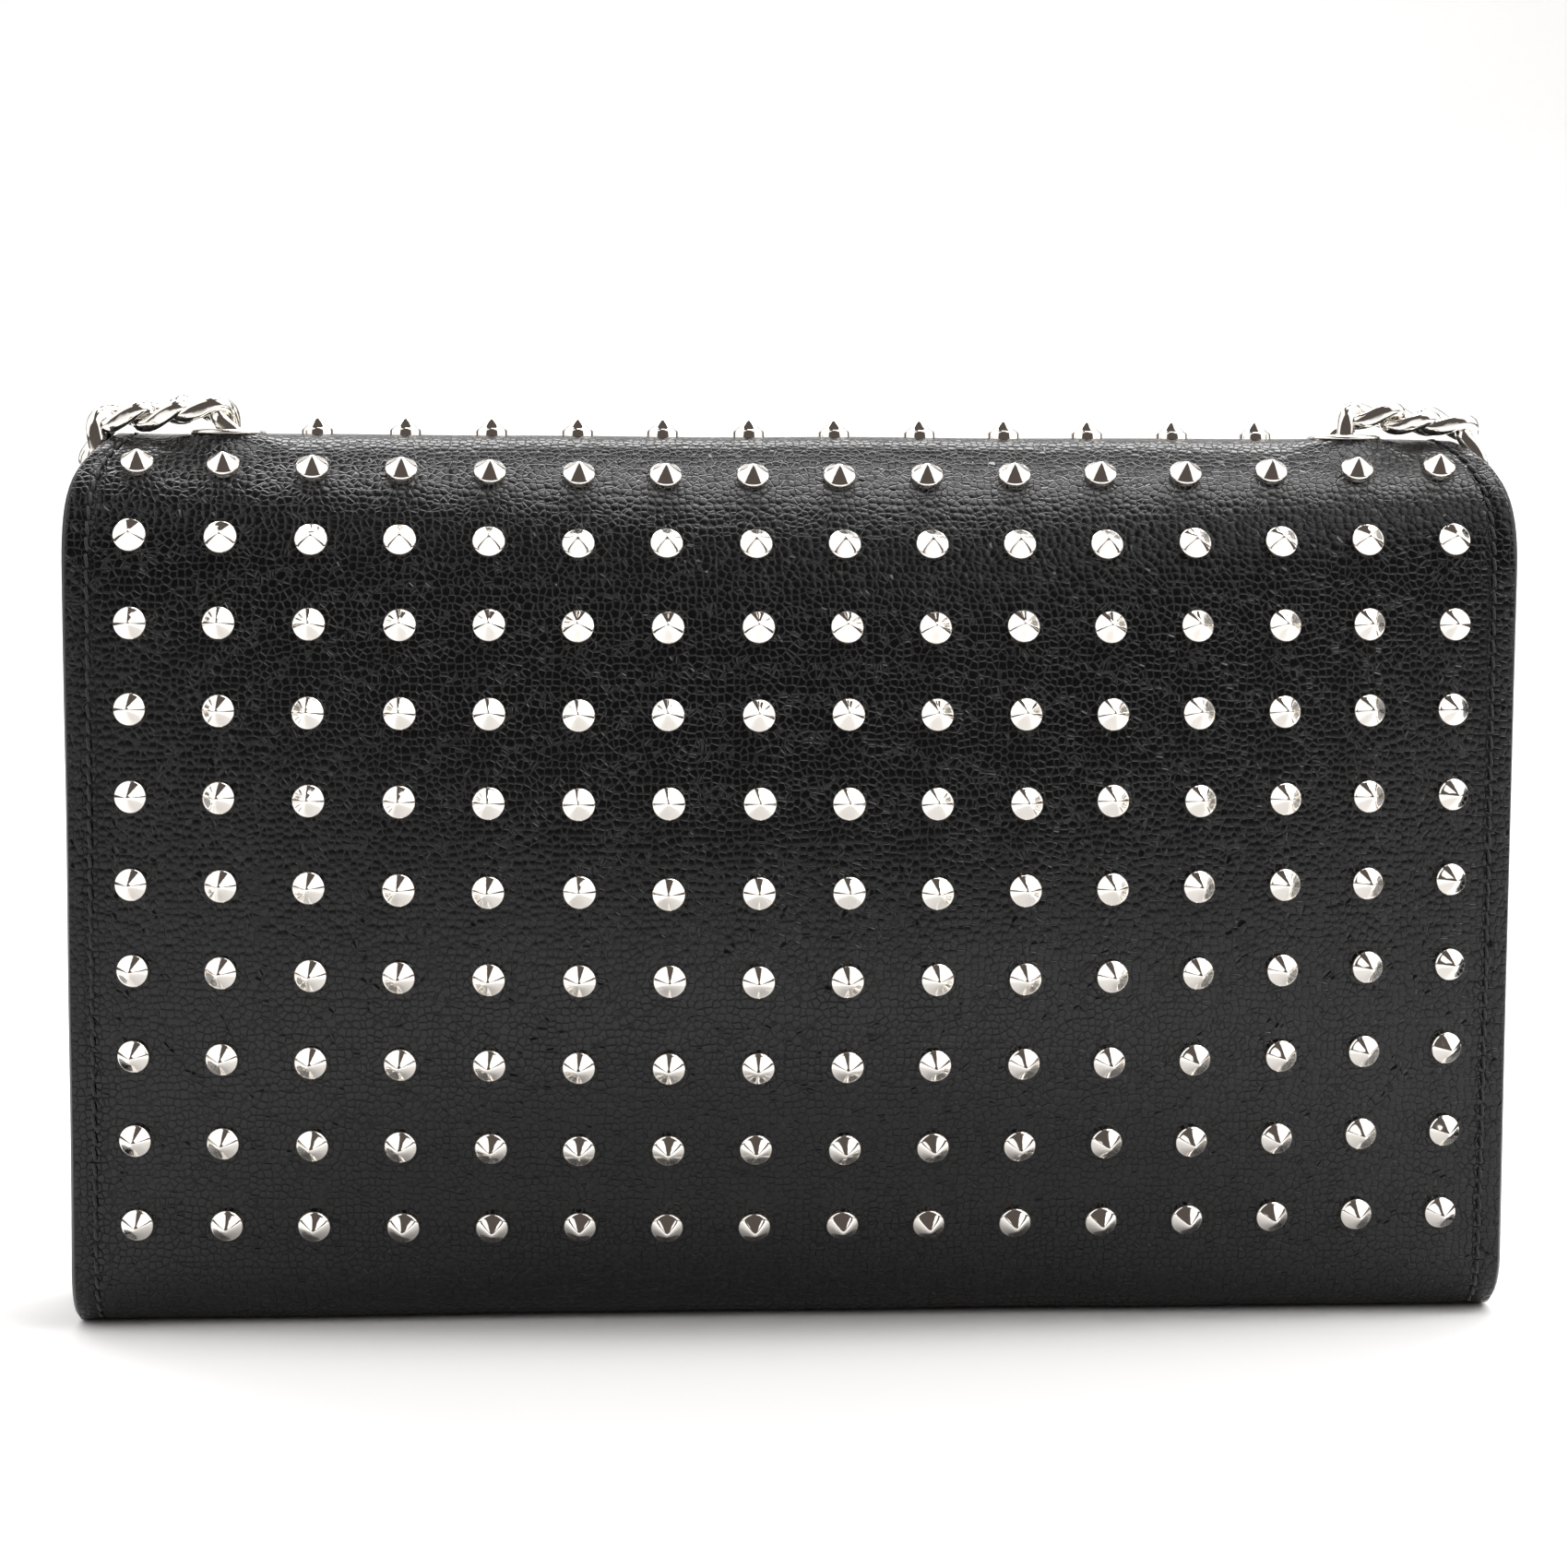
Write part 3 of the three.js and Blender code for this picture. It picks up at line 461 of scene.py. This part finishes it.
# Each point of the rise is a place and the way that the chain's flat side faces.
RISE = [
    (94.2, 1, 146.6, -1, 0, 0.1), (94.4, 1, 149.2, -1, 0, 0.3), (96.2, 1, 151.9, -0.6, 0, 1),
    (99, 1, 153, -0.1, 0, 1), (102.5, 1, 152.9, 0.1, -0.15, 1), (106, 1, 152.2, 0.1, -0.2, 1),
    (110, 1, 151.9, 0, -0.2, 1), (113, 1, 151.7, 0.2, -0.1, 1), (115.5, 1, 150.6, 0.8, 0, 1),
    (116.9, 1, 148, 1, 0, 0.3), (117.2, 1, 145, 1, 0, 0), (117.2, 1.2, 134, 1, 0, 0), (116.7, 2, 112, 1, 0, 0),
    (116.4, 2.5, 85, 1, 0, 0), (116.4, 3, 60, 1, 0, 0), (116.7, 4, 40, 1, 0, 0), (117.7, 5, 25, 1, 0, 0),
    (119.2, 7.4, 14, 1, 0, 0.2), (120, 11.6, 7, 1, 0, 0.7), (120, 18, 3.6, 0.2, 0, 1),
]
FLOOR_Z = 2.8
TURNS = [
    (-119.6, 29), (-116, 39), (-106, 45.2), (-93, 46.5), (-55, 46.5), (-15, 46.5), (25, 46.5), (64, 46.5),
    (72, 46.5), (81.9, 50.6), (86, 60.5), (81.9, 70.4), (72, 74.5), (60, 74.5), (20, 74.5), (-20, 74.5),
    (-54, 74.5), (-62, 74.5), (-71.9, 78.6), (-76, 88.5), (-71.9, 98.4), (-62, 102.5), (-50, 102.5),
    (-10, 102.5), (30, 102.5),
    (66, 102), (82, 98.5), (98, 89), (111, 71), (118, 49), (120, 31),
]
STRAP = ([(-x, y, z, -a, b, c) for x, y, z, a, b, c in RISE] + [(x, y, FLOOR_Z, 0, 0, 1) for x, y in TURNS]
         + RISE[::-1])
TAIL = [(94.4, 1, 145.4, 0, 1, 0), (94.5, 0.8, 142.8, 0, 1, 0), (95, -1.6, 138, 0, 1, 0.3),
        (95.6, -6, 133.4, 0, 1, 0.8), (96, -9.8, 130, 0, 1, 0.6), (96, -11, 125.4, 0, 1, 0)]


def chain_links(route, sides=12):
    """Curb links along a route: ovals of round wire, twisted to nest in each other.
    Their outer sides are ground flat."""
    placed, length = smooth_route(route, 0.5)
    count = max(2, int(round(length / LINK_PITCH)))
    ahead = directions(placed[:, :3])
    turns = np.linspace(0, 2 * math.pi, 29)[:-1]
    half_long, half_wide = (LINK_LONG - LINK_WIRE) / 2, (LINK_WIDE - LINK_WIRE) / 2
    along = half_long * np.cos(turns)
    side = half_wide * np.sign(np.sin(turns)) * np.abs(np.sin(turns)) ** LINK_ROUND
    twist = LINK_TWIST * along / half_long
    loop = np.stack([along, side * np.cos(twist), side * np.sin(twist)], -1)
    forward = np.roll(loop, -1, 0) - np.roll(loop, 1, 0)
    forward /= np.linalg.norm(forward, axis=1, keepdims=True)
    level = np.cross(forward, [0, 0, 1.0])
    level /= np.linalg.norm(level, axis=1, keepdims=True)
    over = np.cross(level, forward)
    ring, faces = tube(loop, level, over, LINK_WIRE / 2, sides, closed=True)
    ring[:, 1] = np.clip(ring[:, 1], -LINK_FLAT, LINK_FLAT)
    parts = []
    for k in range(count):
        spot = (k + 0.5) / count * (len(placed) - 1)
        i = int(spot)
        here, onward, flat = placed[i, :3], ahead[i], placed[i, 3:]
        flat = flat - onward * flat.dot(onward)
        flat /= np.linalg.norm(flat)
        parts.append((here + ring @ np.stack([onward, np.cross(flat, onward), flat]), faces))
    return joined(parts), placed[:, :3], length


strap_mesh, strap_line, strap_length = chain_links(STRAP)
strap = piece("chain_links", *strap_mesh, [CHAIN_METAL], "body")
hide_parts("chain_strap")
for side, word in ((-1, "left"), (1, "right")):
    tail_mesh, _, _ = chain_links([(side * x, y, z, a, b, c) for x, y, z, a, b, c in TAIL])
    piece("chain_end_" + word, *tail_mesh, [CHAIN_METAL], "body")
    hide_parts("chain_tail_" + word)


# ---- Leather body ----
def steps(start, end, spacing, border=0.0):
    """Values at a spacing, closer together within 6 mm of a border."""
    if not border:
        return np.linspace(start, end, max(2, int(round((end - start) / spacing)) + 1))
    edge = np.arange(0, 6.01, border)[:-1]
    middle = np.linspace(start + 6, end - 6, int((end - start - 12) / spacing) + 1)
    return np.concatenate([start + edge, middle, (end - edge)[::-1]])


def seam_dip(x, along, lines_x, lines_along):
    """The leather is drawn in about a quarter of a millimetre along each row of stitches."""
    depth, half_width = 0.28, 0.8
    dip = np.zeros(np.broadcast(x, along).shape)
    for place, lines in ((x, lines_x), (along, lines_along)):
        for line in lines:
            dip = np.maximum(dip, depth * np.exp(-(((place - line) / half_width) ** 2)))
    return dip


def wrapped(start, end, half_width, spacing, depth, thick, shift=0.0, seams_x=(), seams_along=(), loose=0.0,
            border=0.5):
    """The two grids of a sheet that follows the wrap, and its x and along.
    It waves by about the value of loose."""
    xs, alongs = steps(-half_width, half_width, spacing, border), steps(start, end, spacing, border)
    x, along = np.meshgrid(xs, alongs)
    long_waves = np.sin(x / 17 + along / 29) * np.sin(along / 13 - x / 41)
    waves = loose * (long_waves + 0.6 * np.sin(x / 7.3 - along / 9.1))
    dip = seam_dip(x, along, seams_x, seams_along) - waves
    moved = np.array([0, shift, 0])
    return under(x, along, depth + dip) + moved, under(x, along, depth + thick + dip * 0.3) + moved, x, along


def stitches(route_points, facing):
    """Saddle stitches along a route: short round threads that dip into their holes, each slightly aslant."""
    placed, length = smooth_route(np.concatenate([route_points, facing], 1), 0.3)
    count = int(length / STITCH_LENGTH)
    parts = []
    for k in range(count):
        spot = int((k + 0.5) / count * (len(placed) - 1))
        here, out = placed[spot, :3], placed[spot, 3:] / np.linalg.norm(placed[spot, 3:])
        onward = placed[min(spot + 2, len(placed) - 1), :3] - placed[max(spot - 2, 0), :3]
        onward /= np.linalg.norm(onward)
        side = np.cross(out, onward)
        slant = onward * math.cos(0.16) + side * math.sin(0.16)
        t = np.linspace(-1, 1, 6)
        line = here + slant * (t * STITCH_LENGTH * 0.43)[:, None] + out * (0.22 * (1 - t**4) - 0.28)[:, None]
        cross = np.tile(np.cross(out, slant), (6, 1))
        parts.append(tube(line, cross, np.tile(out, (6, 1)), 0.3 * (1 - 0.35 * t**6), 6))
    return joined(parts)


def seam_on_wrap(name, body, lines, shift=0.0):
    """Stitch rows on the wrap, each a list of (x, along)."""
    parts = []
    for line in lines:
        x, along = np.array(line, float).T
        parts.append(stitches(wrap_point(x, along) + np.array([0, shift, 0]), wrap_facing(x, along)))
    made = piece(name, *joined(parts), [THREAD], body)
    return made


FOLD = CREST + 6.5
FLAP_END = along_at(0, FLAP_EDGE_Z, True)
FRONT_TOP = along_at(0, MOUTH_Z, True)
SEAM_X = HALF - EDGE_TO_SEAM
FRONT_SEAM_X = FRONT_HALF - EDGE_TO_SEAM


def eyelet_hole(x, along):
    """Cells of the grid that lie within the eyelets' holes."""
    p = wrap_point((x[:-1, :-1] + x[1:, 1:]) / 2, (along[:-1, :-1] + along[1:, 1:]) / 2)
    straight, radius, near_top = 0.3, 4.7, 12
    dx = np.maximum(np.abs(np.abs(p[..., 0]) - EYELET_X) - straight, 0)
    return (np.hypot(dx, p[..., 1] - EYELET_Y) < radius) & (p[..., 2] > HEIGHT - near_top)


outer, inner, grid_x, grid_along = wrapped(0, FLAP_END, HALF, 2.0, 0, LEATHER, seams_x=(-SEAM_X, SEAM_X),
                                           seams_along=(FLAP_END - EDGE_TO_SEAM,), loose=0.09)
skin = piece("outer_leather", *thick_sheet(outer, inner, eyelet_hole(grid_x, grid_along)),
             [LEATHER_SKIN, EDGE, SUEDE], None)
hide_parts("back_panel", "flap_panel")
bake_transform(skin)
back_line = steps(5, CREST + 3, 3.0)
flap_line = steps(FOLD + 8, FLAP_END - EDGE_TO_SEAM, 3.0)
fold_line = steps(CREST + 3, FOLD + 8, 2.0)
seam_on_wrap("back_stitching", "body", [[(s * SEAM_X, a) for a in back_line] for s in (-1, 1)])
seam_on_wrap("flap_stitching", "flap", [[(s * SEAM_X, a) for a in flap_line] for s in (-1, 1)]
             + [[(x, FLAP_END - EDGE_TO_SEAM) for x in steps(-SEAM_X, SEAM_X, 6.0)]])
fold_stitching = seam_on_wrap("fold_stitching", None, [[(s * SEAM_X, a) for a in fold_line] for s in (-1, 1)])
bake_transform(fold_stitching)

outer, inner, _, _ = wrapped(FRONT_TOP, WRAP, FRONT_HALF, 2.5, 0, LEATHER, -FLAP_STANDOFF,
                             (-FRONT_SEAM_X, FRONT_SEAM_X), (FRONT_TOP + EDGE_TO_SEAM,), loose=0.06)
front = piece("front_leather", *thick_sheet(outer, inner), [LEATHER_SKIN, EDGE, SUEDE], "body")
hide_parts("front_panel")
seam_on_wrap("front_stitching", "body",
             [[(s * FRONT_SEAM_X, a) for a in steps(FRONT_TOP + 4, WRAP - 5, 3.0)] for s in (-1, 1)]
             + [[(x, FRONT_TOP + EDGE_TO_SEAM) for x in steps(-FRONT_SEAM_X, FRONT_SEAM_X, 6.0)]], -FLAP_STANDOFF)


def lining(name, node, start, end, half_width, depth, body, shift=0.0, holes=False):
    """A suede lining, glued in a depth below the outside of the leather."""
    outer, inner, x, along = wrapped(start, end, half_width, 3.0, depth, LINING, shift, loose=0.05, border=1.0)
    mesh = thick_sheet(outer, inner, eyelet_hole(x, along) if holes else None)
    made = piece(name, *mesh, [SUEDE, SUEDE, SUEDE], body)
    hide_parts(node)


LINING_TOP = along_at(0, 120, False)
lining("back_suede", "lining_back", 12, LINING_TOP, HALF - 9.5, LEATHER + 0.6, "body")
lining("front_suede", "lining_front", along_at(0, 116, True), WRAP - 12, FRONT_HALF - 9.5, LEATHER + 0.3, "body",
       -FLAP_STANDOFF)
lining("top_suede", "lining_top", LINING_TOP + 0.8, FOLD - 1.2, HALF - 3.5, LEATHER + 0.6, "body", holes=True)
lining("flap_suede", "flap_lining", FOLD + 0.5, FLAP_END - 1.5, HALF - 1.5, LEATHER + 0.3, "flap")


def base_strip():
    """The flat strip of leather between the rounded bottom corners."""
    back, front, clear_of_table = -6.2, 6.4, 0.02
    x, y = np.meshgrid(steps(-HALF, HALF, 3.0, 1.0), steps(back, front, 1.2))
    outer = np.stack([x, y, np.full(x.shape, clear_of_table)], -1)
    inner = np.stack([x, y, np.full(x.shape, LEATHER)], -1)
    mesh = thick_sheet(outer[::-1], inner[::-1], swell=0.1)
    made = piece("base_leather", *mesh, [LEATHER_SKIN, EDGE, SUEDE], "body")
    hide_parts("base_panel")


base_strip()


def gusset(side, word):
    """A side gusset: sewn to the panels by two flanges, and folded in along its middle."""
    thick, glue, columns = 1.2, 0.9, 40
    back_x, front_x = HALF - 1.5, FRONT_HALF - 1.5  # the edges of the two flanges
    rows_out, rows_in = [], []
    for z in steps(5, MOUTH_Z, 3.0):
        room = LEATHER + thick + glue
        back = wrap_point(back_x, along_at(back_x, z, False))[1] + room
        front = wrap_point(front_x, along_at(front_x, z, True))[1] - room - FLAP_STANDOFF
        middle = (back + front) / 2
        fold_x = 102.6 + 0.8 * math.sin(z / 11) * 0.4
        beside_x = 103.4 + 0.8 * math.sin(z / 11) * 0.4
        corners = [(back_x, back), (115.5, back), (112.6, back + 0.8), (108, (back * 1.1 + middle) / 2.1),
                   (beside_x, middle - 1.1), (fold_x, middle), (beside_x, middle + 1.1),
                   (106, (front * 1.1 + middle) / 2.1), (109.4, front - 0.8), (112.4, front), (front_x, front)]
        line, _ = smooth_route(corners, 0.9)
        even, spread = np.linspace(0, 1, columns), np.linspace(0, 1, len(line))
        line = np.stack([np.interp(even, spread, line[:, i]) for i in (0, 1)], -1)
        ahead = directions(line)
        normal = np.stack([-ahead[:, 1], ahead[:, 0]], -1) * -1
        for rows, offset in ((rows_out, 0.0), (rows_in, -thick)):
            p = line + normal * offset
            rows.append(np.stack([side * p[:, 0], p[:, 1], np.full(len(p), z)], -1))
    outer, inner = np.array(rows_out), np.array(rows_in)
    if side < 0:
        outer, inner = outer[:, ::-1], inner[:, ::-1]
    made = piece("gusset_" + word + "_leather", *thick_sheet(outer, inner), [GUSSET_SKIN, EDGE, SUEDE], "body")
    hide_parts("gusset_" + word)


gusset(-1, "left")
gusset(1, "right")

# ---- Studs ----
STUD_PROFILE = [(2.75, -0.5), (2.75, 0.62), (2.72, 0.8), (2.62, 0.97), (2.44, 1.1), (2.2, 1.3), (1.4, 2.02),
                (0.6, 2.74), (0.3, 2.96), (0.12, 3.03)]


def stud_mesh(sides=36):
    """A round stud that rises from a rim to a blunt point."""
    turns = 2 * math.pi * np.arange(sides) / sides
    points = [(r * math.cos(t), r * math.sin(t), h) for r, h in STUD_PROFILE for t in turns] + [(0, 0, 3.06)]
    faces = []
    for k in range(len(STUD_PROFILE) - 1):
        low, high = k * sides, (k + 1) * sides
        faces += [(low + i, low + (i + 1) % sides, high + (i + 1) % sides, high + i) for i in range(sides)]
    last = (len(STUD_PROFILE) - 1) * sides
    faces += [(last + i, last + (i + 1) % sides, len(points) - 1) for i in range(sides)]
    return np.array(points), faces


def stud_row(node, along, columns, body):
    """A row of single studs, each set by hand and so a degree or two off square."""
    chance = random.Random(node)
    mesh = stud_mesh()
    parts = []
    for c in range(columns):
        u = c - (columns - 1) / 2
        x = u * STUD_PITCH + chance.uniform(-STUD_SCATTER, STUD_SCATTER)
        at = along + chance.uniform(-STUD_SCATTER, STUD_SCATTER)
        lean = [chance.uniform(-STUD_LEAN, STUD_LEAN), 0, chance.uniform(-STUD_LEAN, STUD_LEAN)]
        out = wrap_facing(x, at) + np.array(lean)
        out /= np.linalg.norm(out)
        across = np.array([1.0, 0, 0]) - out * out[0]
        across /= np.linalg.norm(across)
        parts.append((wrap_point(x, at) + mesh[0] @ np.stack([across, np.cross(out, across), out]), mesh[1]))
    made = piece(node.replace("stud_row", "studs"), *joined(parts), [STUD_METAL], body)
    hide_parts(node)


FIRST_BACK_ROW = CREST - 14.8 - (BACK_ROWS - 1) * STUD_ROW_PITCH
FIRST_FLAP_ROW = CREST + 16
TOP_ROW = FIRST_BACK_ROW + BACK_ROWS * STUD_ROW_PITCH + 1.8
for row in range(BACK_ROWS):
    stud_row(f"stud_row_back_{row + 1:02d}", FIRST_BACK_ROW + row * STUD_ROW_PITCH, STUD_COLUMNS, "body")
stud_row("stud_row_top", TOP_ROW, TOP_COLUMNS, "body")
for row in range(FLAP_ROWS):
    stud_row(f"stud_row_flap_{row + 1:02d}", FIRST_FLAP_ROW + row * STUD_ROW_PITCH, STUD_COLUMNS, "flap")


# ---- Eyelets ----
EYELET_HOLE = (8.2, 7.6)  # along the width, and across it


def oval_ring(long, wide, profile, x, y, z, turns=48):
    """A ring swept round an oval. The profile is (outwards from the oval, up), and closed."""
    t = 2 * math.pi * (np.arange(turns) + 0.5) / turns
    reach = (long - wide) / 2
    parts = []
    for out, up in profile:
        r = wide / 2 + out
        across = x + r * np.cos(t) + np.sign(np.cos(t)) * reach
        parts.append(np.stack([across, y + r * np.sin(t), z + up + 0 * t], -1))
    n = len(profile)
    faces = []
    for k in range(n):
        here, ahead = k * turns, ((k + 1) % n) * turns
        faces += [(here + i, ahead + i, ahead + (i + 1) % turns, here + (i + 1) % turns) for i in range(turns)]
    return np.concatenate(parts), faces


for side, word in ((-1, "left"), (1, "right")):
    arc = np.linspace(0, math.pi, 9)
    rolled = [(1.15 - 1.15 * math.cos(a), 0.1 + 0.6 * math.sin(a)) for a in arc]
    barrel = [(2.2, -0.15), (0.9, -0.15), (0.8, -5.6), (0, -5.6)]
    mesh = oval_ring(*EYELET_HOLE, rolled + barrel, side * EYELET_X, EYELET_Y, HEIGHT + 0.05)
    ring = piece("eyelet_rim_" + word, *mesh, [SMALL_METAL], "body")
    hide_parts("eyelet_" + word)

# ---- Frame pieces that keep their shape ----
KEPT = {
    SMALL_METAL: ["eyelet_washer_left", "eyelet_washer_right", "anchor_rivet_left", "anchor_rivet_right",
                  "anchor_ring_left", "anchor_ring_right", "zip_slider", "zip_pull", "zip_teeth",
                  "snap_socket", "snap_backplate", "snap_cap"],
    CALF: ["anchor_tab_left", "anchor_tab_right", "pocket_wall", "pocket_hem",
           "card_slot_upper", "card_slot_middle", "card_slot_lower"],
    TAPE: ["zip_tape"],
    BOARD: ["base_board"],
    SUEDE: ["lining_base"],
}
for material, names in KEPT.items():
    for name in names:
        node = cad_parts[name]
        node.data.materials.clear()
        node.data.materials.append(material)
        bevel = node.modifiers.new("softened_edges", "BEVEL")
        bevel.width, bevel.segments, bevel.limit_method = 0.00025, 2, "ANGLE"


# ---- Table, backdrop and light ----
def table_and_backdrop():
    """A pale table whose far side sweeps up into a pale wall, well outside the wallet's reflections in front."""
    m = new_material("matt_white_paper")
    finish_with(m, Base_Color=linear("#f6f6f6"), Roughness=0.9)
    bend = np.radians(np.arange(0, 91, 10))
    profile = [(y, 0) for y in (-2600, -1500, -750, -300, 0, 300, 700, 1100)]
    profile += [(1100 + 350 * math.sin(a), 350 - 350 * math.cos(a)) for a in bend[1:]]
    profile += [(1450, 900), (1450, 1500)]
    xs = np.linspace(-850, 850, 9)
    points = [(x * (1 + max(y, 0) / 2200 + max(-y - 300, 0) / 900), y, z) for y, z in profile for x in xs]
    n = len(xs)
    faces = [(k * n + i, k * n + i + 1, (k + 1) * n + i + 1, (k + 1) * n + i)
             for k in range(len(profile) - 1) for i in range(n - 1)]
    piece("table_and_wall", points, faces, [m], None)


def soft_box(name, place, aim, size, power):
    """A white studio light with a fabric front, turned to a point."""
    data = bpy.data.lights.new(name, "AREA")
    data.shape, data.size, data.size_y, data.energy = "RECTANGLE", size[0], size[1], power
    lamp = bpy.data.objects.new(name, data)
    lamp.location = place
    lamp.rotation_euler = (Vector(aim) - Vector(place)).to_track_quat("-Z", "Y").to_euler()
    bpy.context.scene.collection.objects.link(lamp)


table_and_backdrop()
soft_box("left_light", (-0.78, -0.22, 0.68), (0, -0.17, 0.10), (1.5, 1.35), 8.5)
soft_box("right_light", (0.76, -0.22, 0.70), (0, -0.17, 0.10), (1.5, 1.35), 10)
soft_box("top_light", (0.45, -0.10, 1.22), (0.12, 0.0, 0.10), (0.42, 1.2), 8)
soft_box("back_light", (0, 1.6, 1.9), (0, 1.9, 0.0), (3.0, 1.2), 100)
world = bpy.data.worlds.new("dim_studio")
world.use_nodes = True
world.node_tree.nodes["Background"].inputs[0].default_value = linear("#8a7f7a")
world.node_tree.nodes["Background"].inputs[1].default_value = 0.45
bpy.context.scene.world = world
bpy.context.scene.view_settings.view_transform = "Standard"
